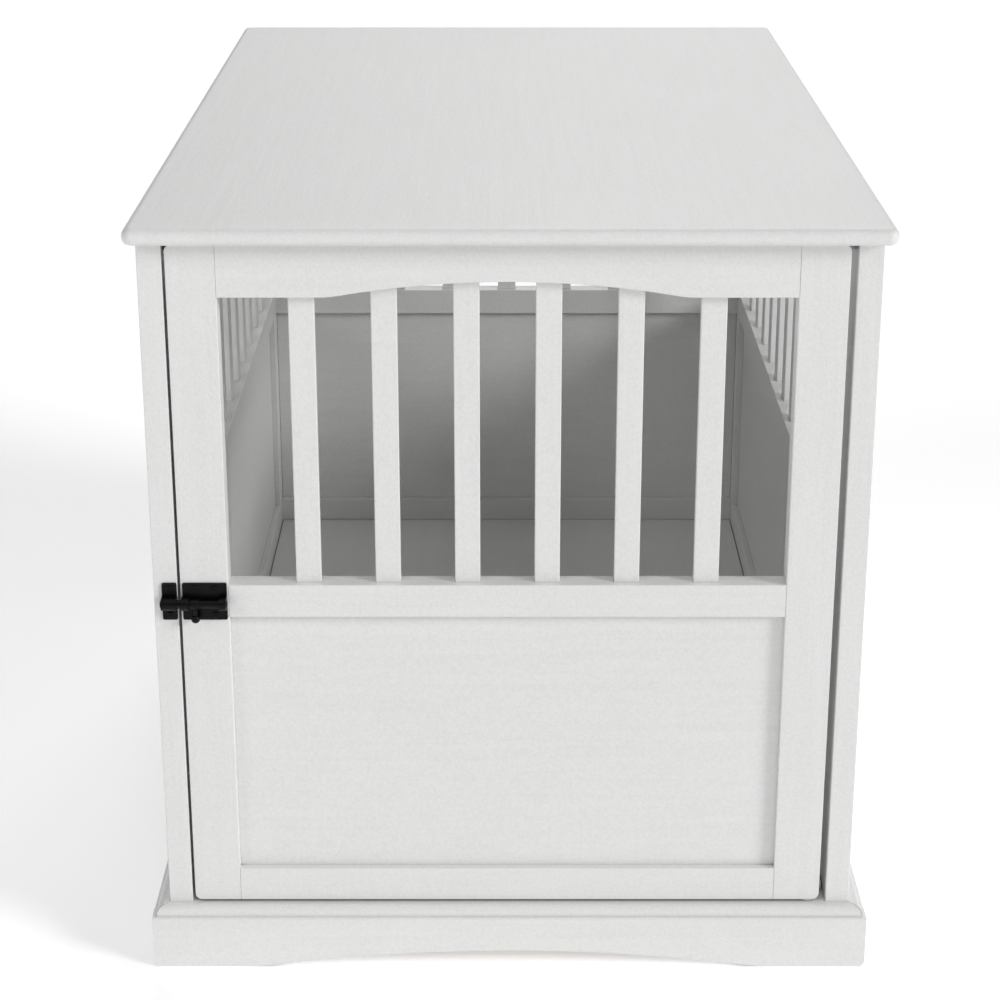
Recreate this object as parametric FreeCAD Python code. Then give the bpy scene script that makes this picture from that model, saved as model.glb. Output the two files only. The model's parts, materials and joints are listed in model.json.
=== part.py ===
"""A wooden dog crate that doubles as an end table.

Lengths are in millimetres. X runs to the right, Y to the back and Z up. The origin is on the
ground, in the middle of the crate. The door is at the front and hangs on two pivot pins at
its right-hand side, and a sliding bolt holds it at the left.
"""
import FreeCAD
import Part

import math
import os

from FreeCAD import Placement, Rotation, Vector

# ---------------------------------------------------------------- driving dimensions
# Whole table
TOP_WIDTH = 610.0
TOP_DEPTH = 914.0
TOTAL_HEIGHT = 666.0

# Table top
TOP_THICKNESS = 14.0
TOP_SIDE_OVERHANG = 9.0
TOP_END_OVERHANG = 16.0
TOP_CORNER_RADIUS = 8.0
TOP_EDGE_RADIUS = 6.0

# Base: skirt boards, and the flat boards with a moulded edge that lie on them
SKIRT_HEIGHT = 48.0
SKIRT_THICKNESS = 18.0
SKIRT_OVERHANG = 14.5
SKIRT_FOOT_LENGTH = 83.5
SKIRT_ARCH_RISE = 16.0
SKIRT_ARCH_END_RADIUS = 160.0
SKIRT_CORNER_RADIUS = 6.0
SKIRT_EDGE_RADIUS = 2.0
BASE_BOARD_THICKNESS = 8.0
BASE_BOARD_WIDTH = 45.0
BASE_BOARD_OVERHANG = 11.0
BASE_MOULDING_RADIUS = 6.5
BASE_MITRE_GAP = 0.6
CLEAT_WIDTH = 20.0
CLEAT_HEIGHT = 16.0
BEARER_WIDTH = 18.0
BEARER_COUNT = 2

# Frames of the sides, the back and the door
FRAME_THICKNESS = 20.0
STILE_WIDTH = 40.0
TOP_RAIL_HEIGHT = 46.0
MID_RAIL_HEIGHT = 29.0
BOTTOM_RAIL_HEIGHT = 33.0
PANEL_SIGHT_HEIGHT = 239.0
PANEL_THICKNESS = 7.0
PANEL_ENTRY = 7.5
SLAT_WIDTH = 21.0
SLAT_THICKNESS = 7.0
SLAT_ENTRY = 7.5
SLAT_EDGE_RADIUS = 1.0
TENON_LENGTH = 8.0
TENON_THICKNESS = 7.0
TENON_SHOULDER = 9.5
ARCH_MARGIN = 82.0
ARCH_RISE = 13.0
ARCH_END_RADIUS = 80.0
EDGE_RADIUS = 0.8
SIDE_SLAT_COUNT = 12
SIDE_SLAT_END_GAP = 45.0
BACK_SLAT_COUNT = 7
BACK_SLAT_END_GAP = 67.5
DOOR_SLAT_COUNT = 6
DOOR_SLAT_END_GAP = 56.0

# Door hanging
DOOR_LATCH_GAP = 2.4
DOOR_HINGE_GAP = 6.0
DOOR_END_GAP = 2.0
DOOR_STOP_GAP = 1.0
DOOR_CORNER_RADIUS = 6.0
PIVOT_INSET = 10.0
HINGE_EDGE_RADIUS = 9.0
PIN_RADIUS = 4.0
PIN_SEAT_LENGTH = 30.0
BUSH_WALL = 1.5
BUSH_TOP_LENGTH = 10.0
BUSH_FOOT_LENGTH = 14.0
BUSH_FLANGE_RADIUS = 8.0
BUSH_FLANGE_THICKNESS = 1.5

# Front header rail, floor and dowels
HEADER_HEIGHT = 12.0
HEADER_THICKNESS = 20.0
FLOOR_THICKNESS = 6.0
DOWEL_RADIUS = 3.0
DOWEL_RAIL_LENGTH = 18.0
DOWEL_STILE_LENGTH = 12.0
DOWEL_INSET = 6.0

# Barrel bolt and keeper
LATCH_HEIGHT = 343.0
LATCH_PLATE_WIDTH = 37.0
LATCH_PLATE_HEIGHT = 33.0
LATCH_PLATE_THICKNESS = 1.5
LATCH_EDGE_INSET = 1.6
LATCH_CORNER_RADIUS = 1.5
KEEPER_WIDTH = 12.5
KEEPER_EDGE_INSET = 0.5
ROD_RADIUS = 3.5
ROD_TIP_CHAMFER = 0.8
ROD_STAND_OFF = 7.0
ROD_TIP_REACH = 1.0
ROD_TAIL_REACH = 0.8
GUIDE_WALL = 1.5
GUIDE_LENGTH = 6.0
KNOB_COLLAR_LENGTH = 6.0
KNOB_COLLAR_WALL = 0.75
KNOB_REST_GAP = 2.0
KNOB_STEM_RADIUS = 1.8
KNOB_REACH = 13.2
KNOB_BALL_RADIUS = 3.8

# Screws: head radius, head height, shank radius
PLATE_SCREW_HEAD_RADIUS = 2.6
PLATE_SCREW_HEAD_HEIGHT = 1.3
PLATE_SCREW_SHANK_RADIUS = 1.4
PLATE_SCREW_LENGTH = 14.0
PLATE_SCREW_END_INSET = 4.5
PLATE_SCREW_SIDE_INSET = 10.0
BRACKET_LEG = 22.0
BRACKET_WIDTH = 16.0
BRACKET_THICKNESS = 2.0
BRACKET_COUNT = 3
BRACKET_END_GAP = 190.0
BRACKET_SCREW_HEAD_RADIUS = 3.2
BRACKET_SCREW_HEAD_HEIGHT = 1.8
BRACKET_SCREW_SHANK_RADIUS = 1.75
BRACKET_SCREW_LENGTH = 12.0
BASE_SCREW_HEAD_RADIUS = 4.2
BASE_SCREW_HEAD_HEIGHT = 2.2
BASE_SCREW_SHANK_RADIUS = 2.1
BASE_SCREW_RAIL_ENTRY = 20.0
BASE_SCREW_COUNT = 3
BASE_SCREW_END_GAP = 120.0
DRIVE_DEPTH_SHARE = 0.55
DRIVE_LENGTH_SHARE = 1.1
DRIVE_WIDTH_SHARE = 0.22

# Clearances
JOINT_CLEARANCE = 0.1
END_CLEARANCE = 0.5
FLOOR_CLEARANCE = 1.0
RUNNING_CLEARANCE = 0.05
KEEPER_CLEARANCE = 0.35

# ---------------------------------------------------------------- places worked out from them
CABINET_X = TOP_WIDTH / 2 - TOP_SIDE_OVERHANG
CABINET_Y = TOP_DEPTH / 2 - TOP_END_OVERHANG
INNER_X = CABINET_X - FRAME_THICKNESS
BACK_INNER_Y = CABINET_Y - FRAME_THICKNESS
TOP_UNDERSIDE = TOTAL_HEIGHT - TOP_THICKNESS
BASE_TOP = SKIRT_HEIGHT + BASE_BOARD_THICKNESS

PANEL_LOW = BASE_TOP + BOTTOM_RAIL_HEIGHT
MID_RAIL_LOW = PANEL_LOW + PANEL_SIGHT_HEIGHT
MID_RAIL_TOP = MID_RAIL_LOW + MID_RAIL_HEIGHT
TOP_RAIL_LOW = TOP_UNDERSIDE - TOP_RAIL_HEIGHT
PANEL_FACE = (FRAME_THICKNESS - PANEL_THICKNESS) / 2
SLAT_FACE = (FRAME_THICKNESS - SLAT_THICKNESS) / 2
TENON_FACE = (FRAME_THICKNESS - TENON_THICKNESS) / 2

DOOR_LEFT = -INNER_X + DOOR_LATCH_GAP
DOOR_RIGHT = INNER_X - DOOR_HINGE_GAP
DOOR_LOW = BASE_TOP + DOOR_END_GAP
DOOR_HIGH = TOP_UNDERSIDE - DOOR_END_GAP
DOOR_BACK_Y = -CABINET_Y + FRAME_THICKNESS
STOP_Y = DOOR_BACK_Y + DOOR_STOP_GAP
PIVOT_X = DOOR_RIGHT - PIVOT_INSET
PIVOT_Y = -CABINET_Y + FRAME_THICKNESS / 2
BUSH_BORE_RADIUS = PIN_RADIUS + RUNNING_CLEARANCE
BUSH_RADIUS = BUSH_BORE_RADIUS + BUSH_WALL

CLEAT_LOW = SKIRT_HEIGHT - CLEAT_HEIGHT
SKIRT_INNER_X = CABINET_X + SKIRT_OVERHANG - SKIRT_THICKNESS
SKIRT_INNER_Y = CABINET_Y + SKIRT_OVERHANG - SKIRT_THICKNESS
BASE_INNER_X = CABINET_X + BASE_BOARD_OVERHANG - BASE_BOARD_WIDTH

ROD_Y = -CABINET_Y - ROD_STAND_OFF
GUIDE_RADIUS = ROD_RADIUS + KEEPER_CLEARANCE + GUIDE_WALL
LATCH_LEFT = DOOR_LEFT + LATCH_EDGE_INSET
LATCH_RIGHT = LATCH_LEFT + LATCH_PLATE_WIDTH
KEEPER_RIGHT = -INNER_X - KEEPER_EDGE_INSET
KEEPER_LEFT = KEEPER_RIGHT - KEEPER_WIDTH
KNOB_LEFT = LATCH_LEFT + GUIDE_LENGTH + KNOB_REST_GAP

ALONG_X = Vector(1, 0, 0)
ALONG_Y = Vector(0, 1, 0)
ALONG_Z = Vector(0, 0, 1)
# A cut goes this far past the face that it opens.
CUT_MARGIN = 1.0
# Two places this near to each other count as one.
TOLERANCE = 1e-4


# ---------------------------------------------------------------- shapes
def block(x0, x1, y0, y1, z0, z1):
    """A box between two corners."""
    return Part.makeBox(x1 - x0, y1 - y0, z1 - z0, Vector(x0, y0, z0))


def bar(start, direction, radius, length):
    """A round bar."""
    return Part.makeCylinder(radius, length, start, direction)


def moved(shape, x=0.0, y=0.0, z=0.0, turn=0.0):
    """A copy turned about Z by turn degrees, then moved."""
    copy = shape.copy()
    copy.Placement = Placement(Vector(x, y, z), Rotation(ALONG_Z, turn)).multiply(copy.Placement)
    return copy


def extruded_outline(edges, thickness):
    """A board whose face in the XZ plane has the outline, going back from Y = 0."""
    return Part.Face(Part.Wire(edges)).extrude(Vector(0, thickness, 0))


def line(a, b):
    return Part.LineSegment(a, b).toShape()


def arc(a, middle, b):
    return Part.Arc(a, middle, b).toShape()


def arch_sizes(half, rise, end_radius):
    """Radius and end angle of the middle arc of an arch that is 2 * half wide."""
    return (half ** 2 + rise ** 2) / (2 * rise) - end_radius, 2 * math.atan2(rise, half)


def arched_board(x0, x1, low, high, thickness, margin, rise, end_radius):
    """A board whose lower edge rises in an arch with a reverse curve at each end.

    The arch starts at the margin from each end of the board.
    """
    middle = (x0 + x1) / 2
    half = (x1 - x0) / 2 - margin
    radius, angle = arch_sizes(half, rise, end_radius)
    blend_x = radius * math.sin(angle)
    blend_z = low + rise - radius * (1 - math.cos(angle))
    bend_x = half - end_radius * math.sin(angle / 2)
    bend_z = low + end_radius * (1 - math.cos(angle / 2))

    def at(x, z):
        return Vector(x, 0, z)

    return extruded_outline([
        line(at(x0, high), at(x0, low)),
        line(at(x0, low), at(middle - half, low)),
        arc(at(middle - half, low), at(middle - bend_x, bend_z), at(middle - blend_x, blend_z)),
        arc(at(middle - blend_x, blend_z), at(middle, low + rise), at(middle + blend_x, blend_z)),
        arc(at(middle + blend_x, blend_z), at(middle + bend_x, bend_z), at(middle + half, low)),
        line(at(middle + half, low), at(x1, low)),
        line(at(x1, low), at(x1, high)),
        line(at(x1, high), at(x0, high)),
    ], thickness)


def is_parallel(edge, direction):
    """True for a straight edge along the direction."""
    if edge.Curve.TypeId != "Part::GeomLine":
        return False
    run = edge.Vertexes[-1].Point.sub(edge.Vertexes[0].Point)
    run.normalize()
    return run.cross(direction).Length < TOLERANCE


def lies_at(edge, axis, level):
    """True for an edge whose ends have this coordinate along the axis (0, 1 or 2)."""
    return all(abs(vertex.Point[axis] - level) < TOLERANCE for vertex in edge.Vertexes)


def ease_faces(board, thickness, ends):
    """Round the edges of a board's two faces, Y = 0 and Y = thickness, with its ends or without."""
    edges = []
    for edge in board.Edges:
        on_face = lies_at(edge, 1, 0.0) or lies_at(edge, 1, thickness)
        if on_face and (ends or not is_parallel(edge, ALONG_Z)):
            edges.append(edge)
    return board.makeFillet(EDGE_RADIUS, edges)


def round_corner(board, radius, x, z):
    """Round a board's corner edge that runs along Y at x, z."""
    edges = []
    for edge in board.Edges:
        if is_parallel(edge, ALONG_Y) and lies_at(edge, 0, x) and lies_at(edge, 2, z):
            edges.append(edge)
    return board.makeFillet(radius, edges)


def group(solids):
    return Part.makeCompound(solids)


def screw(seat, direction, head_radius, head_height, shank_radius, length):
    """A pan-head screw with a cross drive, its head resting at the seat, going along direction."""
    head = bar(Vector(0, 0, -head_height), ALONG_Z, head_radius, head_height)
    head = head.makeFillet(head_height / 2, [e for e in head.Edges if lies_at(e, 2, -head_height)])
    half_length = head_radius * DRIVE_LENGTH_SHARE / 2
    half_width = head_radius * DRIVE_WIDTH_SHARE / 2
    depth = head_height * DRIVE_DEPTH_SHARE
    for turn in (0.0, 90.0):
        slot = block(-half_length, half_length, -half_width, half_width,
                     -head_height - CUT_MARGIN, -head_height + depth)
        head = head.cut(moved(slot, turn=turn))
    shape = head.fuse(bar(Vector(), ALONG_Z, shank_radius, length)).removeSplitter()
    shape.Placement = Placement(seat, Rotation(ALONG_Z, direction))
    return shape


def spread(low, high, count):
    """Evenly spaced places from low to high."""
    return [low + (high - low) * index / (count - 1) for index in range(count)]


# ---------------------------------------------------------------- frame pieces
# A frame is drawn with its opening from X = 0 to X = opening and its outer face at Y = 0.
def arch_rise_at(opening, x):
    """How far the arch under a top rail has risen above the rail's ends at x."""
    half = opening / 2 - ARCH_MARGIN
    radius, angle = arch_sizes(half, ARCH_RISE, ARCH_END_RADIUS)
    offset = abs(x - opening / 2)
    if offset >= half:
        return 0.0
    if offset >= radius * math.sin(angle):
        return ARCH_END_RADIUS - math.sqrt(ARCH_END_RADIUS ** 2 - (half - offset) ** 2)
    return ARCH_RISE - radius + math.sqrt(radius ** 2 - offset ** 2)


def tenon_span(low, high):
    """Lowest and highest points of the tenons on a rail between low and high."""
    return low + TENON_SHOULDER, high - TENON_SHOULDER


def with_tenons(rail, opening, low, high):
    """The rail with a tenon on each end."""
    tenon_low, tenon_high = tenon_span(low, high)
    for x0, x1 in ((-TENON_LENGTH, 0.0), (opening, opening + TENON_LENGTH)):
        rail = rail.fuse(block(x0, x1, TENON_FACE, TENON_FACE + TENON_THICKNESS, tenon_low, tenon_high))
    return rail.removeSplitter()


def cut_groove(board, x0, x1, z0, z1):
    """The board with the panel's groove, which has this extent."""
    return board.cut(block(x0, x1, PANEL_FACE - JOINT_CLEARANCE,
                           PANEL_FACE + PANEL_THICKNESS + JOINT_CLEARANCE, z0, z1))


def slat_places(opening, count, end_gap):
    """Left edges of a frame's slats."""
    return spread(end_gap, opening - end_gap - SLAT_WIDTH, count)


def slat_top(opening, x):
    """Upper end of the slat whose left edge is at x, inside the top rail."""
    return TOP_RAIL_LOW + arch_rise_at(opening, x + SLAT_WIDTH / 2) + SLAT_ENTRY


def slats(opening, places):
    """The slats between the mid rail and the top rail."""
    solids = []
    for x in places:
        slat = block(x, x + SLAT_WIDTH, SLAT_FACE, SLAT_FACE + SLAT_THICKNESS,
                     MID_RAIL_TOP - SLAT_ENTRY, slat_top(opening, x))
        solids.append(slat.makeFillet(SLAT_EDGE_RADIUS,
                                      [edge for edge in slat.Edges if is_parallel(edge, ALONG_Z)]))
    return group(solids)


def cut_mortises(rail, places, low_at, high_at):
    """The rail with a mortise for each slat, from low_at(x) to high_at(x)."""
    for x in places:
        rail = rail.cut(block(x - JOINT_CLEARANCE, x + SLAT_WIDTH + JOINT_CLEARANCE,
                              SLAT_FACE - JOINT_CLEARANCE,
                              SLAT_FACE + SLAT_THICKNESS + JOINT_CLEARANCE, low_at(x), high_at(x)))
    return rail


def top_rail(opening, high, places):
    """The arched top rail, without tenons."""
    rail = arched_board(0, opening, TOP_RAIL_LOW, high, FRAME_THICKNESS, ARCH_MARGIN, ARCH_RISE,
                        ARCH_END_RADIUS)
    rail = ease_faces(rail, FRAME_THICKNESS, False)
    return cut_mortises(rail, places, lambda x: TOP_RAIL_LOW - CUT_MARGIN,
                        lambda x: slat_top(opening, x) + END_CLEARANCE)


def mid_rail(opening, places):
    """The rail between the slats and the panel, without tenons."""
    rail = block(0, opening, 0, FRAME_THICKNESS, MID_RAIL_LOW, MID_RAIL_TOP)
    rail = ease_faces(rail, FRAME_THICKNESS, False)
    rail = cut_groove(rail, -CUT_MARGIN, opening + CUT_MARGIN, MID_RAIL_LOW - CUT_MARGIN,
                      MID_RAIL_LOW + PANEL_ENTRY + END_CLEARANCE)
    return cut_mortises(rail, places, lambda x: MID_RAIL_TOP - SLAT_ENTRY - END_CLEARANCE,
                        lambda x: MID_RAIL_TOP + CUT_MARGIN)


def bottom_rail(opening, low):
    """The rail under the panel, without tenons."""
    rail = ease_faces(block(0, opening, 0, FRAME_THICKNESS, low, PANEL_LOW), FRAME_THICKNESS, False)
    return cut_groove(rail, -CUT_MARGIN, opening + CUT_MARGIN,
                      PANEL_LOW - PANEL_ENTRY - END_CLEARANCE, PANEL_LOW + CUT_MARGIN)


def panel(x0, x1):
    """The panel between the mid rail and the bottom rail."""
    return block(x0, x1, PANEL_FACE, PANEL_FACE + PANEL_THICKNESS,
                 PANEL_LOW - PANEL_ENTRY, MID_RAIL_LOW + PANEL_ENTRY)


def stile(x0, low, high, inner_x, inward, rounded_x=None):
    """An upright whose joints are in the side at inner_x and go inwards (-1 or 1).

    rounded_x is the edge whose corners are rounded as on the door.
    """
    upright = block(x0, x0 + STILE_WIDTH, 0, FRAME_THICKNESS, low, high)
    if rounded_x is not None:
        upright = round_corner(upright, DOOR_CORNER_RADIUS, rounded_x, low)
        upright = round_corner(upright, DOOR_CORNER_RADIUS, rounded_x, high)
    upright = ease_faces(upright, FRAME_THICKNESS, True)

    def span(depth):
        return sorted((inner_x - inward * CUT_MARGIN, inner_x + inward * depth))

    x_low, x_high = span(PANEL_ENTRY + END_CLEARANCE)
    upright = cut_groove(upright, x_low, x_high, PANEL_LOW - PANEL_ENTRY - END_CLEARANCE,
                         MID_RAIL_LOW + PANEL_ENTRY + END_CLEARANCE)
    x_low, x_high = span(TENON_LENGTH + END_CLEARANCE)
    for rail_low, rail_high in ((low, PANEL_LOW), (MID_RAIL_LOW, MID_RAIL_TOP), (TOP_RAIL_LOW, high)):
        tenon_low, tenon_high = tenon_span(rail_low, rail_high)
        upright = upright.cut(block(x_low, x_high, TENON_FACE - JOINT_CLEARANCE,
                                    TENON_FACE + TENON_THICKNESS + JOINT_CLEARANCE,
                                    tenon_low - JOINT_CLEARANCE, tenon_high + JOINT_CLEARANCE))
    return upright


def frame_pieces(opening, low, high, slat_count, end_gap, rounded=False):
    """The pieces of a frame with two stiles, three rails, a panel and slats."""
    places = slat_places(opening, slat_count, end_gap)
    outer_left = -STILE_WIDTH if rounded else None
    outer_right = opening + STILE_WIDTH if rounded else None
    return {
        "left_stile": stile(-STILE_WIDTH, low, high, 0.0, -1, outer_left),
        "right_stile": stile(opening, low, high, opening, 1, outer_right),
        "top_rail": with_tenons(top_rail(opening, high, places), opening, TOP_RAIL_LOW, high),
        "mid_rail": with_tenons(mid_rail(opening, places), opening, MID_RAIL_LOW, MID_RAIL_TOP),
        "bottom_rail": with_tenons(bottom_rail(opening, low), opening, low, PANEL_LOW),
        "panel": panel(-PANEL_ENTRY, opening + PANEL_ENTRY),
        "slats": slats(opening, places),
    }


# ---------------------------------------------------------------- top and base
def table_top():
    """The top, with rounded corners and a rounded edge all round."""
    board = block(-TOP_WIDTH / 2, TOP_WIDTH / 2, -TOP_DEPTH / 2, TOP_DEPTH / 2,
                  TOP_UNDERSIDE, TOTAL_HEIGHT)
    board = board.makeFillet(TOP_CORNER_RADIUS,
                             [edge for edge in board.Edges if is_parallel(edge, ALONG_Z)])
    rims = [edge for edge in board.Edges
            if lies_at(edge, 2, TOTAL_HEIGHT) or lies_at(edge, 2, TOP_UNDERSIDE)]
    return board.makeFillet(TOP_EDGE_RADIUS, rims)


def skirt_board(length, rounded):
    """A skirt board along X, centred, with its outer face at Y = 0 and an arched foot line."""
    half = length / 2
    board = arched_board(-half, half, 0.0, SKIRT_HEIGHT, SKIRT_THICKNESS, SKIRT_FOOT_LENGTH,
                         SKIRT_ARCH_RISE, SKIRT_ARCH_END_RADIUS)
    if rounded:
        for x in (-half, half):
            board = round_corner(board, SKIRT_CORNER_RADIUS, x, 0.0)
    rim = [edge for edge in board.Edges
           if is_parallel(edge, ALONG_X) and lies_at(edge, 1, 0.0) and lies_at(edge, 2, SKIRT_HEIGHT)]
    return board.makeFillet(SKIRT_EDGE_RADIUS, rim)


def base_board(length):
    """A base board along X, centred, moulded along Y = 0 and mitred at both ends."""
    half = length / 2
    rise = BASE_MOULDING_RADIUS
    low = SKIRT_HEIGHT
    slack = rise * (1 - math.sqrt(0.5))

    def at(y, z):
        return Vector(-half, y, z)

    profile = Part.Wire([
        line(at(0, low), at(BASE_BOARD_WIDTH, low)),
        line(at(BASE_BOARD_WIDTH, low), at(BASE_BOARD_WIDTH, BASE_TOP)),
        line(at(BASE_BOARD_WIDTH, BASE_TOP), at(rise, BASE_TOP)),
        arc(at(rise, BASE_TOP), at(slack, BASE_TOP - slack), at(0, BASE_TOP - rise)),
        line(at(0, BASE_TOP - rise), at(0, low)),
    ])
    board = Part.Face(profile).extrude(Vector(length, 0, 0))
    outer = half - BASE_MITRE_GAP / math.sqrt(2)
    inner = outer - BASE_BOARD_WIDTH
    corners = [Vector(-outer, 0, low), Vector(outer, 0, low),
               Vector(inner, BASE_BOARD_WIDTH, low), Vector(-inner, BASE_BOARD_WIDTH, low)]
    mitred = Part.Face(Part.makePolygon(corners + corners[:1])).extrude(
        Vector(0, 0, BASE_BOARD_THICKNESS))
    return board.common(mitred)


def around(front_shape, side_shape, overhang):
    """Four boards round the base, whose outer faces stand this far outside the cabinet."""
    reach_x = CABINET_X + overhang
    reach_y = CABINET_Y + overhang
    return {
        "front": moved(front_shape, y=-reach_y),
        "rear": moved(front_shape, y=reach_y, turn=180),
        "left": moved(side_shape, x=-reach_x, turn=-90),
        "right": moved(side_shape, x=reach_x, turn=90),
    }


def base_cleats():
    """Cleats behind the skirt boards, which carry the base boards."""
    side_low = SKIRT_INNER_X - CLEAT_WIDTH
    end_low = SKIRT_INNER_Y - CLEAT_WIDTH
    return {
        "left": block(-SKIRT_INNER_X, -side_low, -SKIRT_INNER_Y, SKIRT_INNER_Y, CLEAT_LOW, SKIRT_HEIGHT),
        "right": block(side_low, SKIRT_INNER_X, -SKIRT_INNER_Y, SKIRT_INNER_Y, CLEAT_LOW, SKIRT_HEIGHT),
        "front": block(-side_low, side_low, -SKIRT_INNER_Y, -end_low, CLEAT_LOW, SKIRT_HEIGHT),
        "rear": block(-side_low, side_low, end_low, SKIRT_INNER_Y, CLEAT_LOW, SKIRT_HEIGHT),
    }


def floor_bearers():
    """Bars across the base with notched ends, which hold up the middle of the floor."""
    lower_x = SKIRT_INNER_X - CLEAT_WIDTH
    step = 2 * CABINET_Y / (BEARER_COUNT + 1)
    solids = []
    for index in range(BEARER_COUNT):
        y0 = -CABINET_Y + step * (index + 1) - BEARER_WIDTH / 2
        lower = block(-lower_x, lower_x, y0, y0 + BEARER_WIDTH, CLEAT_LOW, SKIRT_HEIGHT)
        upper = block(-BASE_INNER_X, BASE_INNER_X, y0, y0 + BEARER_WIDTH, SKIRT_HEIGHT, BASE_TOP)
        solids.append(lower.fuse(upper).removeSplitter())
    return group(solids)


# ---------------------------------------------------------------- dowels, screws and brackets
def dowel_places():
    """(y, z) of the dowels at the ends of the header rail and the three back rails."""
    back_y = CABINET_Y - FRAME_THICKNESS / 2
    groove_low = PANEL_LOW - PANEL_ENTRY - END_CLEARANCE
    return [
        (STOP_Y + DOWEL_INSET, TOP_UNDERSIDE - HEADER_HEIGHT / 2),
        (back_y, (TOP_RAIL_LOW + TOP_UNDERSIDE) / 2),
        (back_y, (MID_RAIL_LOW + MID_RAIL_TOP) / 2),
        (back_y, (BASE_TOP + groove_low) / 2),
    ]


def dowels(extra):
    """Dowels across the joints with the side frames, or with extra the holes that they fill."""
    length = DOWEL_RAIL_LENGTH + DOWEL_STILE_LENGTH + 2 * extra
    solids = []
    for y, z in dowel_places():
        for start in (-INNER_X - DOWEL_STILE_LENGTH - extra, INNER_X - DOWEL_RAIL_LENGTH - extra):
            solids.append(bar(Vector(start, y, z), ALONG_X, DOWEL_RADIUS + extra, length))
    return solids


def base_screw_seats():
    """Where the screws start, under the cleats, to go up into the side frames."""
    x = SKIRT_INNER_X - CLEAT_WIDTH / 2
    places = spread(-CABINET_Y + BASE_SCREW_END_GAP, CABINET_Y - BASE_SCREW_END_GAP, BASE_SCREW_COUNT)
    return [Vector(side * x, y, CLEAT_LOW) for side in (-1, 1) for y in places]


def base_screw_length():
    return CLEAT_HEIGHT + BASE_BOARD_THICKNESS + BASE_SCREW_RAIL_ENTRY


def bracket(side, y):
    """An angle bracket in the corner between a side frame and the top, side -1 left or 1 right."""
    leg = BRACKET_LEG
    upright = block(INNER_X - BRACKET_THICKNESS, INNER_X, y - BRACKET_WIDTH / 2, y + BRACKET_WIDTH / 2,
                    TOP_UNDERSIDE - leg, TOP_UNDERSIDE)
    flat = block(INNER_X - leg, INNER_X, y - BRACKET_WIDTH / 2, y + BRACKET_WIDTH / 2,
                 TOP_UNDERSIDE - BRACKET_THICKNESS, TOP_UNDERSIDE)
    shape = upright.fuse(flat).removeSplitter()
    return shape if side > 0 else shape.mirror(Vector(), ALONG_X)


def bracket_screw_seats(side, y):
    """(seat, direction) of a bracket's two screws."""
    middle = (BRACKET_THICKNESS + BRACKET_LEG) / 2
    up_seat = Vector(side * (INNER_X - middle), y, TOP_UNDERSIDE - BRACKET_THICKNESS)
    out_seat = Vector(side * (INNER_X - BRACKET_THICKNESS), y, TOP_UNDERSIDE - middle)
    return [(up_seat, ALONG_Z), (out_seat, Vector(side, 0, 0))]


def bracket_places():
    rows = spread(-CABINET_Y + BRACKET_END_GAP, CABINET_Y - BRACKET_END_GAP, BRACKET_COUNT)
    return [(side, y) for side in (-1, 1) for y in rows]


def plate_screw_places(left, right):
    """(x, z) of the screws in a latch plate: four corners, or two where the plate is narrow."""
    reach = LATCH_PLATE_HEIGHT / 2 - PLATE_SCREW_END_INSET
    columns = {left + PLATE_SCREW_SIDE_INSET, right - PLATE_SCREW_SIDE_INSET}
    if right - left < 2 * PLATE_SCREW_SIDE_INSET:
        columns = {(left + right) / 2}
    return [(x, LATCH_HEIGHT + side * reach) for x in sorted(columns) for side in (-1, 1)]


def plate_screw_seats(left, right):
    y = -CABINET_Y - LATCH_PLATE_THICKNESS
    return [Vector(x, y, z) for x, z in plate_screw_places(left, right)]


def holes(seats_and_directions, shank_radius, length):
    """Holes that clear the shanks of screws."""
    return [bar(seat, direction, shank_radius + JOINT_CLEARANCE, length + END_CLEARANCE)
            for seat, direction in seats_and_directions]


# ---------------------------------------------------------------- pivots
def pivot_pins():
    """A pin at the foot and one at the top of the hinge stile."""
    foot_start = BASE_TOP - BUSH_FOOT_LENGTH + END_CLEARANCE
    top_end = TOP_UNDERSIDE + BUSH_TOP_LENGTH - END_CLEARANCE
    foot = bar(Vector(PIVOT_X, PIVOT_Y, foot_start), ALONG_Z, PIN_RADIUS,
               DOOR_LOW + PIN_SEAT_LENGTH - foot_start)
    top_start = DOOR_HIGH - PIN_SEAT_LENGTH
    top = bar(Vector(PIVOT_X, PIVOT_Y, top_start), ALONG_Z, PIN_RADIUS, top_end - top_start)
    return group([foot, top])


def pin_holes():
    """Holes for the pins in the hinge stile."""
    depth = PIN_SEAT_LENGTH + END_CLEARANCE
    radius = PIN_RADIUS + JOINT_CLEARANCE
    return [
        bar(Vector(PIVOT_X, PIVOT_Y, DOOR_LOW - CUT_MARGIN), ALONG_Z, radius, depth + CUT_MARGIN),
        bar(Vector(PIVOT_X, PIVOT_Y, DOOR_HIGH - depth), ALONG_Z, radius, depth + CUT_MARGIN),
    ]


def bush(face_z, direction, length):
    """A flanged bush let into a face, with its flange on the face's outer side."""
    face = Vector(PIVOT_X, PIVOT_Y, face_z)
    flange = bar(face, direction.negative(), BUSH_FLANGE_RADIUS, BUSH_FLANGE_THICKNESS)
    body = bar(face, direction, BUSH_RADIUS, length)
    bore_start = face.sub(direction * (BUSH_FLANGE_THICKNESS + CUT_MARGIN))
    bore = bar(bore_start, direction, BUSH_BORE_RADIUS,
               length + BUSH_FLANGE_THICKNESS + 2 * CUT_MARGIN)
    return flange.fuse(body).removeSplitter().cut(bore)


def bush_seat(face_z, direction, length):
    """The hole that a bush fills."""
    start = Vector(PIVOT_X, PIVOT_Y, face_z).sub(direction * CUT_MARGIN)
    return bar(start, direction, BUSH_RADIUS + JOINT_CLEARANCE, length + END_CLEARANCE + CUT_MARGIN)


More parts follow.
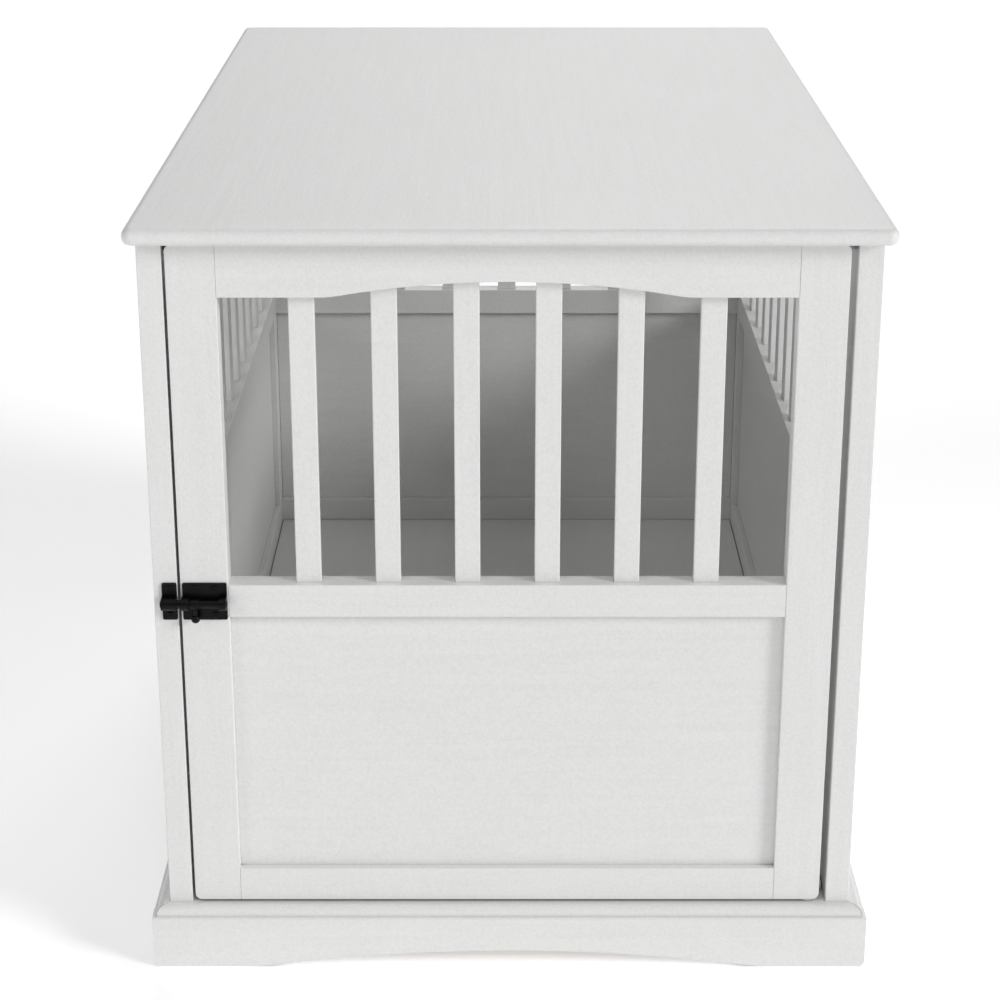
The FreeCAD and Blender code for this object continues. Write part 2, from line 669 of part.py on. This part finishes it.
# ---------------------------------------------------------------- barrel bolt
def guide(x0, x1, bore_radius):
    """A loop that stands on a plate round the rod."""
    start = Vector(x0, ROD_Y, LATCH_HEIGHT)
    loop = bar(start, ALONG_X, GUIDE_RADIUS, x1 - x0)
    foot = block(x0, x1, ROD_Y, -CABINET_Y - LATCH_PLATE_THICKNESS,
                 LATCH_HEIGHT - GUIDE_RADIUS, LATCH_HEIGHT + GUIDE_RADIUS)
    bore = bar(Vector(x0 - CUT_MARGIN, ROD_Y, LATCH_HEIGHT), ALONG_X, bore_radius,
               x1 - x0 + 2 * CUT_MARGIN)
    return loop.fuse(foot).cut(bore)


def guide_plate(left, right, loops):
    """A flat plate on the front face with loops on it and screw holes in it."""
    plate = block(left, right, -CABINET_Y - LATCH_PLATE_THICKNESS, -CABINET_Y,
                  LATCH_HEIGHT - LATCH_PLATE_HEIGHT / 2, LATCH_HEIGHT + LATCH_PLATE_HEIGHT / 2)
    plate = plate.makeFillet(LATCH_CORNER_RADIUS,
                             [edge for edge in plate.Edges if is_parallel(edge, ALONG_Y)])
    for loop in loops:
        plate = plate.fuse(loop)
    plate = plate.removeSplitter()
    seats = [(seat, ALONG_Y) for seat in plate_screw_seats(left, right)]
    for hole in holes(seats, PLATE_SCREW_SHANK_RADIUS, PLATE_SCREW_LENGTH):
        plate = plate.cut(hole)
    return plate


def latch_plate():
    bore = ROD_RADIUS + RUNNING_CLEARANCE
    return guide_plate(LATCH_LEFT, LATCH_RIGHT, [
        guide(LATCH_LEFT, LATCH_LEFT + GUIDE_LENGTH, bore),
        guide(LATCH_RIGHT - GUIDE_LENGTH, LATCH_RIGHT, bore),
    ])


def keeper_plate():
    return guide_plate(KEEPER_LEFT, KEEPER_RIGHT,
                       [guide(KEEPER_LEFT, KEEPER_RIGHT, ROD_RADIUS + KEEPER_CLEARANCE)])


def latch_rod():
    """The bolt rod, which shows at the keeper's far side and the plate's far side."""
    start = KEEPER_LEFT - ROD_TIP_REACH
    rod = bar(Vector(start, ROD_Y, LATCH_HEIGHT), ALONG_X, ROD_RADIUS,
              LATCH_RIGHT + ROD_TAIL_REACH - start)
    tips = [edge for edge in rod.Edges if edge.Curve.TypeId == "Part::GeomCircle"]
    return rod.makeChamfer(ROD_TIP_CHAMFER, tips)


def latch_knob():
    """A collar that turns on the rod, with a stem and a ball that hang down."""
    bore = ROD_RADIUS + RUNNING_CLEARANCE
    start = Vector(KNOB_LEFT, ROD_Y, LATCH_HEIGHT)
    middle = Vector(KNOB_LEFT + KNOB_COLLAR_LENGTH / 2, ROD_Y, LATCH_HEIGHT)
    collar = bar(start, ALONG_X, bore + KNOB_COLLAR_WALL, KNOB_COLLAR_LENGTH)
    stem = bar(middle, ALONG_Z.negative(), KNOB_STEM_RADIUS, KNOB_REACH)
    ball = Part.makeSphere(KNOB_BALL_RADIUS, middle.sub(Vector(0, 0, KNOB_REACH)))
    rod_space = bar(Vector(KNOB_LEFT - CUT_MARGIN, ROD_Y, LATCH_HEIGHT), ALONG_X, bore,
                    KNOB_COLLAR_LENGTH + 2 * CUT_MARGIN)
    return collar.fuse(stem).fuse(ball).cut(rod_space)


# ---------------------------------------------------------------- the whole table
def cut_all(shape, tools):
    """The shape without the tools that reach it."""
    for tool in tools:
        if shape.BoundBox.intersect(tool.BoundBox):
            shape = shape.cut(tool)
    return shape


def side_nodes():
    """Both side frames."""
    opening = 2 * (CABINET_Y - STILE_WIDTH)
    pieces = frame_pieces(opening, BASE_TOP, TOP_UNDERSIDE, SIDE_SLAT_COUNT, SIDE_SLAT_END_GAP)
    stile_names = {
        "left": {"left_stile": "rear_stile", "right_stile": "front_stile"},
        "right": {"left_stile": "front_stile", "right_stile": "rear_stile"},
    }
    nodes = {}
    for key, shape in pieces.items():
        left_name = stile_names["left"].get(key, key)
        right_name = stile_names["right"].get(key, key)
        nodes["left_side_" + left_name] = moved(shape, x=-CABINET_X, y=opening / 2, turn=-90)
        nodes["right_side_" + right_name] = moved(shape, x=CABINET_X, y=-opening / 2, turn=90)
    return nodes


def back_nodes():
    """The back, whose rails run from one side frame to the other."""
    opening = 2 * INNER_X
    places = slat_places(opening, BACK_SLAT_COUNT, BACK_SLAT_END_GAP)
    pieces = {
        "top_rail": top_rail(opening, TOP_UNDERSIDE, places),
        "mid_rail": mid_rail(opening, places),
        "bottom_rail": bottom_rail(opening, BASE_TOP),
        "panel": panel(END_CLEARANCE, opening - END_CLEARANCE),
        "slats": slats(opening, places),
    }
    return {"back_" + key: moved(shape, x=INNER_X, y=CABINET_Y, turn=180)
            for key, shape in pieces.items()}


def hinge_edge_waste(x):
    """What is cut off the inner edge at x, so that the door turns past its stop."""
    radius = HINGE_EDGE_RADIUS
    low, high = DOOR_LOW - CUT_MARGIN, DOOR_HIGH + CUT_MARGIN
    corner = block(x - radius, x + CUT_MARGIN, FRAME_THICKNESS - radius,
                   FRAME_THICKNESS + CUT_MARGIN, low, high)
    return corner.cut(bar(Vector(x - radius, FRAME_THICKNESS - radius, low), ALONG_Z,
                          radius, high - low))


def door_nodes():
    """The door's wooden pieces."""
    opening = DOOR_RIGHT - DOOR_LEFT - 2 * STILE_WIDTH
    pieces = frame_pieces(opening, DOOR_LOW, DOOR_HIGH, DOOR_SLAT_COUNT, DOOR_SLAT_END_GAP, True)
    pieces["right_stile"] = pieces["right_stile"].cut(hinge_edge_waste(opening + STILE_WIDTH))
    names = {"left_stile": "latch_stile", "right_stile": "hinge_stile"}
    return {"door_" + names.get(key, key): moved(shape, x=DOOR_LEFT + STILE_WIDTH, y=-CABINET_Y)
            for key, shape in pieces.items()}


def wooden_nodes():
    """Every wooden piece, before the holes for fasteners are made."""
    nodes = {"table_top": table_top()}
    nodes.update(side_nodes())
    nodes.update(back_nodes())
    nodes.update(door_nodes())

    header = block(-INNER_X, INNER_X, 0, HEADER_THICKNESS, TOP_UNDERSIDE - HEADER_HEIGHT, TOP_UNDERSIDE)
    nodes["front_header_rail"] = moved(ease_faces(header, HEADER_THICKNESS, False), y=STOP_Y)
    nodes["floor_panel"] = block(-INNER_X + FLOOR_CLEARANCE, INNER_X - FLOOR_CLEARANCE, STOP_Y,
                                 BACK_INNER_Y - FLOOR_CLEARANCE, BASE_TOP, BASE_TOP + FLOOR_THICKNESS)
    nodes["floor_bearers"] = floor_bearers()

    side_reach = 2 * (CABINET_Y + SKIRT_OVERHANG - SKIRT_THICKNESS)
    skirts = around(skirt_board(2 * (CABINET_X + SKIRT_OVERHANG), True),
                    skirt_board(side_reach, False), SKIRT_OVERHANG)
    boards = around(base_board(2 * (CABINET_X + BASE_BOARD_OVERHANG)),
                    base_board(2 * (CABINET_Y + BASE_BOARD_OVERHANG)), BASE_BOARD_OVERHANG)
    for place in skirts:
        nodes["skirt_" + place] = skirts[place]
        nodes["base_board_" + place] = boards[place]
    for place, shape in base_cleats().items():
        nodes["base_cleat_" + place] = shape
    return nodes


def fastener_holes():
    """Every hole that a fastener, a pin or a bush needs in the wood."""
    tools = dowels(JOINT_CLEARANCE)
    tools += holes([(seat, ALONG_Z) for seat in base_screw_seats()],
                   BASE_SCREW_SHANK_RADIUS, base_screw_length())
    for side, y in bracket_places():
        tools += holes(bracket_screw_seats(side, y), BRACKET_SCREW_SHANK_RADIUS, BRACKET_SCREW_LENGTH)
    for left, right in ((LATCH_LEFT, LATCH_RIGHT), (KEEPER_LEFT, KEEPER_RIGHT)):
        tools += holes([(seat, ALONG_Y) for seat in plate_screw_seats(left, right)],
                       PLATE_SCREW_SHANK_RADIUS, PLATE_SCREW_LENGTH)
    tools += pin_holes()
    tools.append(bush_seat(TOP_UNDERSIDE, ALONG_Z, BUSH_TOP_LENGTH))
    tools.append(bush_seat(BASE_TOP, ALONG_Z.negative(), BUSH_FOOT_LENGTH))
    return tools


def hardware_nodes():
    """Dowels, screws, brackets, pivots and the barrel bolt."""
    bracket_screws = [
        screw(seat, direction, BRACKET_SCREW_HEAD_RADIUS, BRACKET_SCREW_HEAD_HEIGHT,
              BRACKET_SCREW_SHANK_RADIUS, BRACKET_SCREW_LENGTH)
        for side, y in bracket_places() for seat, direction in bracket_screw_seats(side, y)]
    base_screws = [
        screw(seat, ALONG_Z, BASE_SCREW_HEAD_RADIUS, BASE_SCREW_HEAD_HEIGHT,
              BASE_SCREW_SHANK_RADIUS, base_screw_length())
        for seat in base_screw_seats()]

    def plate_screws(left, right):
        return group([screw(seat, ALONG_Y, PLATE_SCREW_HEAD_RADIUS, PLATE_SCREW_HEAD_HEIGHT,
                            PLATE_SCREW_SHANK_RADIUS, PLATE_SCREW_LENGTH)
                      for seat in plate_screw_seats(left, right)])

    bracket_holes = [hole for side, y in bracket_places()
                     for hole in holes(bracket_screw_seats(side, y), BRACKET_SCREW_SHANK_RADIUS,
                                       BRACKET_SCREW_LENGTH)]
    bracket_holes += holes([(seat.sub(direction * (BRACKET_THICKNESS + CUT_MARGIN)), direction)
                            for side, y in bracket_places()
                            for seat, direction in bracket_screw_seats(side, y)],
                           BRACKET_SCREW_SHANK_RADIUS, BRACKET_THICKNESS + CUT_MARGIN)
    return {
        "rail_dowels": group(dowels(0.0)),
        "base_screws": group(base_screws),
        "top_brackets": group([cut_all(bracket(side, y), bracket_holes)
                               for side, y in bracket_places()]),
        "top_bracket_screws": group(bracket_screws),
        "door_pivot_pins": pivot_pins(),
        "pivot_bushes": group([bush(TOP_UNDERSIDE, ALONG_Z, BUSH_TOP_LENGTH),
                               bush(BASE_TOP, ALONG_Z.negative(), BUSH_FOOT_LENGTH)]),
        "latch_plate": latch_plate(),
        "latch_screws": plate_screws(LATCH_LEFT, LATCH_RIGHT),
        "latch_rod": latch_rod(),
        "latch_knob": latch_knob(),
        "keeper_plate": keeper_plate(),
        "keeper_screws": plate_screws(KEEPER_LEFT, KEEPER_RIGHT),
    }


def cut_wood(shape, tools):
    """The wooden piece without the holes, kept as a group where it has several solids."""
    solids = [cut_all(solid, tools) for solid in shape.Solids]
    return solids[0] if len(solids) == 1 else group(solids)


def main():
    os.makedirs("parts", exist_ok=True)
    tools = fastener_holes()
    nodes = {name: cut_wood(shape, tools) for name, shape in wooden_nodes().items()}
    nodes.update(hardware_nodes())
    for name, shape in nodes.items():
        shape.exportStep(os.path.join("parts", name + ".step"))
        print(name, len(shape.Solids), round(shape.Volume, 1), shape.isValid())


main()
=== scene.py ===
"""The dog crate end table, dressed for a picture.

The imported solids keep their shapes. This script gives them materials, and sets a floor, light and
a camera round them. Lengths are in metres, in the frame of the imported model: X to the right, Y to
the back, Z up.
"""

import json
import math
from collections import namedtuple

import bpy
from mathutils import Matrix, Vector

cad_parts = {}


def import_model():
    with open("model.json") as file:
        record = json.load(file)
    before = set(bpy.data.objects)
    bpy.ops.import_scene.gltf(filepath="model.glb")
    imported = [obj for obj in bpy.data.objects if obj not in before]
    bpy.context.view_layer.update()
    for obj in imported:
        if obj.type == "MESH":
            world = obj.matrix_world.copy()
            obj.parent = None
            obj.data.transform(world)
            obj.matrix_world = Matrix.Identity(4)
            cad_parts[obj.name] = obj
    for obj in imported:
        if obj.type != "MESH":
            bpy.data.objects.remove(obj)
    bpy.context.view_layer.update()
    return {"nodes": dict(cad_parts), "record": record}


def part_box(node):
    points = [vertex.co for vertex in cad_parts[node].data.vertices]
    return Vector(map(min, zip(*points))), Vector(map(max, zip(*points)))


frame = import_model()

# ---------------------------------------------------------------- camera, at the photo's angle
CAMERA_PLACE = (-0.008, -2.157, 1.121)
CAMERA_PITCH = 18.79        # degrees that it looks down
CAMERA_LENS = 81.1          # mm
CAMERA_SENSOR = 36.0        # mm
CAMERA_SHIFT = -0.12        # of the picture's side
CAMERA_FAR = 100.0          # beyond the far edge of the floor

# ---------------------------------------------------------------- light and floor
WHITE = (1.0, 1.0, 1.0, 1.0)

Sun = namedtuple("Sun", "name azimuth elevation width strength")
SUNS = (
    # degrees to the right of the front, degrees up, width in degrees, strength
    Sun("key_right", 64.0, 22.0, 18.0, 1.85),
    Sun("key_left", -55.0, 28.0, 22.0, 0.50),
    Sun("key_above", 8.0, 60.0, 8.0, 0.16),
    Sun("fill_above", 0.0, 75.0, 60.0, 0.50),
    Sun("fill_behind", 175.0, 35.0, 30.0, 0.95),
)

# The world goes from the horizon's strength to the sky's between these heights, as the Z of a
# direction of length 1.
HORIZON_HEIGHTS = (0.20, 0.42)
HORIZON_STRENGTH = 0.50
SKY_STRENGTH = 0.06

FLOOR_SIZE = 60.0
FLOOR_COLOUR = (0.98, 0.98, 0.98, 1.0)
FLOOR_ROUGHNESS = 0.85
FLOOR_SPECULAR = 0.1
FLOOR_GLOW = 0.26

# ---------------------------------------------------------------- what the surfaces look like
# Noise is a layer of texture: how fine it is, how many finer layers lie in it and how strong they
# are, and how much it is bent.
Noise = namedtuple("Noise", "scale detail roughness distortion", defaults=(0.0,))
NOISE_RANGE = (0.3, 0.7)            # where nearly all the values of a noise lie
TWO_NOISES_RANGE = (0.6, 1.4)       # the same for two noises added together

# Relief is how deep a texture is, in metres, and how strongly it shows.
Relief = namedtuple("Relief", "depth strength")

# Tones are the stops of a colour ramp, each a place and a colour. Shares are how much each noise
# counts in a sum. Roughness goes from the first value to the second with a noise.

# The texture of wood is drawn out along its grain, by less scale on that axis.
GRAIN_STRETCH = {"x": (0.045, 1.0, 1.0), "y": (1.0, 0.045, 1.0), "z": (1.0, 1.0, 0.045)}

PAINT_FIBRE = Noise(900.0, 3.0, 0.6)
PAINT_FIGURE = Noise(120.0, 5.0, 0.6, 0.6)
PAINT_SPRAY = Noise(420.0, 2.0, 0.5)
PAINT_CLOUD = Noise(9.0, 3.0, 0.5)
PAINT_HEIGHT_SHARES = (0.55, 0.8, 0.7)      # of fibre, figure and spray
PAINT_TONE_SHARES = (0.15, 0.3, 0.55)       # of cloud, figure and spray
PAINT_TONES = (
    (0.36, (0.704, 0.704, 0.698)),
    (0.50, (0.738, 0.738, 0.732)),
    (0.64, (0.764, 0.764, 0.760)),
)
PAINT_RELIEF = Relief(0.0004, 0.5)
PAINT_ROUGHNESS = (0.42, 0.50)
PAINT_SPECULAR = 0.45
PAINT_COAT = 0.1
PAINT_COAT_ROUGHNESS = 0.2

# Painted shade: the paint's colour is darkened in gaps and grooves that are tighter than the reach,
# from the second openness down to the first, where shade would fall.
CREVICE_SHADE_REACH = 0.004
CREVICE_SHADE_OPENNESS = (0.1, 0.46)
CREVICE_SHADE_DARKEST = 0.12
CREVICE_SHADE_RAYS = 6

WOOD_RINGS = Noise(60.0, 6.0, 0.62, 1.4)
WOOD_FIBRE = Noise(1500.0, 3.0, 0.6)
WOOD_BLOTCH = Noise(14.0, 3.0, 0.5)
WOOD_TONE_SHARES = (0.6, 0.25, 0.15)        # of rings, fibre and blotch
WOOD_TONE_PLACES = (0.36, 0.50, 0.64)
WOOD_RELIEF = Relief(0.00018, 0.6)
WOOD_ROUGHNESS = (0.58, 0.80)
PINE = ((0.42, 0.27, 0.14), (0.62, 0.45, 0.27), (0.74, 0.58, 0.38))
BEECH = ((0.48, 0.30, 0.17), (0.62, 0.42, 0.25), (0.72, 0.52, 0.34))
# The only bare pieces whose grain runs to the back.
SIDE_CLEATS = ("base_cleat_left", "base_cleat_right")

ZINC_BRUSHED = Noise(2600.0, 2.0, 0.6)
ZINC_STRETCH = (1.0, 1.0, 0.05)
ZINC_PATCH = Noise(260.0, 3.0, 0.6)
ZINC_TONES = ((0.35, (0.46, 0.47, 0.49)), (0.65, (0.66, 0.67, 0.68)))
ZINC_RELIEF = Relief(0.00003, 0.5)
ZINC_ROUGHNESS = (0.28, 0.50)

BLACK_TEXTURE = Noise(2200.0, 3.0, 0.6)
BLACK_PATCH = Noise(180.0, 3.0, 0.55)
BLACK_TONES = ((0.0, (0.0018, 0.0018, 0.002)), (1.0, (0.022, 0.021, 0.02)))
BLACK_RELIEF = Relief(0.00003, 0.5)
BLACK_ROUGHNESS = (0.30, 0.44)
BLACK_SPECULAR = 0.16
RUBBED_PATCHES = (0.4, 0.65)        # patch values where an edge starts to wear, and is worn
EDGE_RADIUS = 0.0004
EDGE_TURN = (0.99, 0.86)            # cosine of the turn that a bevel gives on a flat and on an edge
EDGE_RAYS = 4

NYLON_GRAIN = Noise(1500.0, 3.0, 0.6)
NYLON_CLOUD = Noise(120.0, 2.0, 0.5)
NYLON_TONES = ((0.3, (0.72, 0.71, 0.67)), (0.7, (0.80, 0.79, 0.75)))
NYLON_RELIEF = Relief(0.00003, 0.5)
NYLON_ROUGHNESS = (0.38, 0.52)
NYLON_SUBSURFACE = 0.05


# ---------------------------------------------------------------- node helpers
class Nodes:
    """A short way to build a material's node tree."""

    def __init__(self, name):
        self.material = bpy.data.materials.new(name)
        self.material.use_nodes = True
        self.tree = self.material.node_tree
        self.tree.nodes.clear()
        output = self.new("OutputMaterial")
        self.shader = self.new("BsdfPrincipled")
        self.link(self.shader.outputs["BSDF"], output.inputs["Surface"])
        self.place = self.new("TexCoord").outputs["Object"]

    def new(self, kind):
        return self.tree.nodes.new("ShaderNode" + kind)

    def link(self, source, target):
        self.tree.links.new(source, target)

    def put(self, value, socket):
        """Links the value to the socket if it is another node's, and else sets it."""
        if isinstance(value, bpy.types.NodeSocket):
            self.link(value, socket)
        else:
            socket.default_value = value

    def set(self, node, **inputs):
        """Sets or links a node's inputs; an underscore in a name stands for a space."""
        for name, value in inputs.items():
            self.put(value, node.inputs[name.replace("_", " ")])

    def stretched(self, scale):
        """The place on the piece, with each axis times its scale."""
        node = self.new("Mapping")
        self.set(node, Vector=self.place, Scale=scale)
        return node.outputs["Vector"]

    def noise(self, vector, layer):
        node = self.new("TexNoise")
        self.set(node, Vector=vector, Scale=layer.scale, Detail=layer.detail,
                 Roughness=layer.roughness, Distortion=layer.distortion)
        return node.outputs["Fac"]

    def ramp(self, source, across, result):
        """Source across the first pair of values becomes the result, the second pair."""
        node = self.new("MapRange")
        self.set(node, Value=source, From_Min=across[0], From_Max=across[1],
                 To_Min=result[0], To_Max=result[1])
        return node.outputs["Result"]

    def math(self, kind, first, second):
        node = self.new("Math")
        node.operation = kind
        self.put(first, node.inputs[0])
        self.put(second, node.inputs[1])
        return node.outputs["Value"]

    def total(self, sources, shares):
        """Each source times its share, added up."""
        parts = [self.math("MULTIPLY", *pair) for pair in zip(sources, shares)]
        result = parts[0]
        for part in parts[1:]:
            result = self.math("ADD", result, part)
        return result

    def colours(self, source, stops):
        """Source through a colour ramp, with stops (place, colour)."""
        node = self.new("ValToRGB")
        elements = node.color_ramp.elements
        elements[0].position, elements[1].position = stops[0][0], stops[-1][0]
        for place, _ in stops[1:-1]:
            elements.new(place)
        for element, (_, colour) in zip(elements, stops):
            element.color = (*colour, 1.0)
        self.set(node, Fac=source)
        return node.outputs["Color"]

    def bump(self, height, relief):
        node = self.new("Bump")
        self.set(node, Height=height, Distance=relief.depth, Strength=relief.strength)
        return node.outputs["Normal"]

    def times(self, colour, factor):
        """A colour times a number."""
        node = self.new("VectorMath")
        node.operation = "SCALE"
        self.link(colour, node.inputs[0])
        self.set(node, Scale=factor)
        return node.outputs["Vector"]

    def painted_crevice_shade(self):
        """Painted shade: 1 in the open, down to the darkest in gaps and grooves tighter than the
        reach.
        """
        node = self.new("AmbientOcclusion")
        node.samples = CREVICE_SHADE_RAYS
        self.set(node, Distance=CREVICE_SHADE_REACH)
        return self.ramp(node.outputs["AO"], CREVICE_SHADE_OPENNESS, (CREVICE_SHADE_DARKEST, 1.0))

    def edges(self):
        """1 on edges, 0 on flats, by how much a small bevel would turn the surface."""
        bevel = self.new("Bevel")
        bevel.samples = EDGE_RAYS
        self.set(bevel, Radius=EDGE_RADIUS)
        turn = self.new("VectorMath")
        turn.operation = "DOT_PRODUCT"
        self.link(bevel.outputs["Normal"], turn.inputs[0])
        self.link(self.new("NewGeometry").outputs["Normal"], turn.inputs[1])
        return self.ramp(turn.outputs["Value"], EDGE_TURN, (0.0, 1.0))


# ---------------------------------------------------------------- materials
def painted_wood(axis):
    """White satin paint over wood whose grain runs along the axis, with painted shade in its gaps
    and grooves.
    """
    n = Nodes("white_paint_" + axis)
    along = n.stretched(GRAIN_STRETCH[axis])
    fibre = n.noise(along, PAINT_FIBRE)
    figure = n.noise(along, PAINT_FIGURE)
    spray = n.noise(n.place, PAINT_SPRAY)
    cloud = n.noise(n.place, PAINT_CLOUD)
    height = n.total((fibre, figure, spray), PAINT_HEIGHT_SHARES)
    tone = n.total((cloud, figure, spray), PAINT_TONE_SHARES)
    n.set(n.shader,
          # The paint's colour is darkened by painted shade in gaps and grooves.
          Base_Color=n.times(n.colours(tone, PAINT_TONES), n.painted_crevice_shade()),
          Roughness=n.ramp(cloud, NOISE_RANGE, PAINT_ROUGHNESS),
          Normal=n.bump(height, PAINT_RELIEF),
          Specular_IOR_Level=PAINT_SPECULAR,
          Coat_Weight=PAINT_COAT,
          Coat_Roughness=PAINT_COAT_ROUGHNESS)
    return n.material


def bare_wood(axis, name, colours):
    """Unpainted wood with growth rings, fibres and blotches, its grain along the axis."""
    n = Nodes(name + "_" + axis)
    along = n.stretched(GRAIN_STRETCH[axis])
    rings = n.noise(along, WOOD_RINGS)
    fibre = n.noise(along, WOOD_FIBRE)
    blotch = n.noise(n.place, WOOD_BLOTCH)
    tone = n.total((rings, fibre, blotch), WOOD_TONE_SHARES)
    n.set(n.shader,
          Base_Color=n.colours(tone, tuple(zip(WOOD_TONE_PLACES, colours))),
          Roughness=n.ramp(fibre, NOISE_RANGE, WOOD_ROUGHNESS),
          Normal=n.bump(n.math("ADD", fibre, rings), WOOD_RELIEF))
    return n.material


def zinc_steel():
    """Zinc-plated steel with fine brushing and dull patches."""
    n = Nodes("zinc_plated_steel")
    brushed = n.noise(n.stretched(ZINC_STRETCH), ZINC_BRUSHED)
    patch = n.noise(n.place, ZINC_PATCH)
    n.set(n.shader,
          Base_Color=n.colours(patch, ZINC_TONES),
          Roughness=n.ramp(n.math("ADD", brushed, patch), TWO_NOISES_RANGE, ZINC_ROUGHNESS),
          Normal=n.bump(brushed, ZINC_RELIEF),
          Metallic=1.0)
    return n.material


def black_metal():
    """Steel under satin black paint, with a fine texture and rubbed edges."""
    n = Nodes("black_painted_metal")
    texture = n.noise(n.place, BLACK_TEXTURE)
    patch = n.noise(n.place, BLACK_PATCH)
    rubbed = n.math("MULTIPLY", n.edges(), n.ramp(patch, RUBBED_PATCHES, (0.0, 1.0)))
    n.set(n.shader,
          Base_Color=n.colours(rubbed, BLACK_TONES),
          Roughness=n.ramp(patch, NOISE_RANGE, BLACK_ROUGHNESS),
          Normal=n.bump(texture, BLACK_RELIEF),
          Specular_IOR_Level=BLACK_SPECULAR)
    return n.material


def nylon():
    """Natural white nylon with a faint mould texture."""
    n = Nodes("bush_nylon")
    grain = n.noise(n.place, NYLON_GRAIN)
    cloud = n.noise(n.place, NYLON_CLOUD)
    n.set(n.shader,
          Base_Color=n.colours(cloud, NYLON_TONES),
          Roughness=n.ramp(grain, NOISE_RANGE, NYLON_ROUGHNESS),
          Normal=n.bump(grain, NYLON_RELIEF),
          Subsurface_Weight=NYLON_SUBSURFACE)
    return n.material


PAINTS = {axis: painted_wood(axis) for axis in "xyz"}
BARE = {axis: bare_wood(axis, "bare_pine", PINE) for axis in "xy"}
SLOT_MATERIALS = {
    "dowel_wood": bare_wood("x", "dowel_beech", BEECH),
    "zinc_steel": zinc_steel(),
    "black_metal": black_metal(),
    "bush_plastic": nylon(),
}


def grain_axis(name):
    """The axis of a painted node's grain: upright in slats, and else along its longest side."""
    if name.endswith("slats"):
        return "z"
    low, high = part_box(name)
    size = high - low
    return "xyz"[max(range(3), key=lambda i: size[i])]


def finish_of(name, slot):
    """The material of a node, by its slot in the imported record."""
    if slot == "white_paint":
        return PAINTS[grain_axis(name)]
    if slot == "bare_wood":
        return BARE["y" if name in SIDE_CLEATS else "x"]
    return SLOT_MATERIALS[slot]


slots = {row["node"]: row["material_slot"] for row in frame["record"]["subparts"]}
for name, piece in frame["nodes"].items():
    piece.data.materials.clear()
    piece.data.materials.append(finish_of(name, slots[name]))


# ---------------------------------------------------------------- floor, light and camera
def floor():
    """A plain pale floor, which glows a little so that it stays white in the picture."""
    bpy.ops.mesh.primitive_plane_add(size=FLOOR_SIZE, location=(0.0, 0.0, 0.0))
    plane = bpy.context.object
    plane.name = "floor"
    n = Nodes("pale_floor")
    n.set(n.shader,
          Base_Color=FLOOR_COLOUR,
          Roughness=FLOOR_ROUGHNESS,
          Specular_IOR_Level=FLOOR_SPECULAR,
          Emission_Color=WHITE,
          Emission_Strength=FLOOR_GLOW)
    plane.data.materials.append(n.material)


def sun(lamp):
    """A broad, even studio light from far away; a wide angle makes its shadows soft."""
    data = bpy.data.lights.new(lamp.name, "SUN")
    data.angle = math.radians(lamp.width)
    data.energy = lamp.strength
    turn, rise = math.radians(lamp.azimuth), math.radians(lamp.elevation)
    level = math.cos(rise)
    towards = Vector((math.sin(turn) * level, -math.cos(turn) * level, math.sin(rise)))
    holder = bpy.data.objects.new(lamp.name, data)
    holder.rotation_euler = towards.to_track_quat("Z", "Y").to_euler()
    bpy.context.scene.collection.objects.link(holder)


def world():
    """A pale studio: brighter round the horizon, and dim above it, where the lamps are."""
    studio = bpy.data.worlds.new("studio")
    studio.use_nodes = True
    nodes, links = studio.node_tree.nodes, studio.node_tree.links
    split = nodes.new("ShaderNodeSeparateXYZ")
    links.new(nodes.new("ShaderNodeTexCoord").outputs["Generated"], split.inputs["Vector"])
    strength = nodes.new("ShaderNodeMapRange")
    links.new(split.outputs["Z"], strength.inputs["Value"])
    strength.inputs["From Min"].default_value = HORIZON_HEIGHTS[0]
    strength.inputs["From Max"].default_value = HORIZON_HEIGHTS[1]
    strength.inputs["To Min"].default_value = HORIZON_STRENGTH
    strength.inputs["To Max"].default_value = SKY_STRENGTH
    background = nodes["Background"]
    background.inputs["Color"].default_value = WHITE
    links.new(strength.outputs["Result"], background.inputs["Strength"])
    bpy.context.scene.world = studio


def camera():
    """The photo's camera: in front of the crate, a little above it, looking down at the door."""
    data = bpy.data.cameras.new("camera")
    data.sensor_width = CAMERA_SENSOR
    data.lens = CAMERA_LENS
    data.shift_y = CAMERA_SHIFT
    data.clip_end = CAMERA_FAR
    eye = bpy.data.objects.new("camera", data)
    eye.location = CAMERA_PLACE
    eye.rotation_euler = (math.radians(90.0 - CAMERA_PITCH), 0.0, 0.0)
    bpy.context.scene.collection.objects.link(eye)
    bpy.context.scene.camera = eye


floor()
for lamp in SUNS:
    sun(lamp)
world()
camera()
view = bpy.context.scene.view_settings
view.view_transform = "Standard"
view.exposure = 0.0
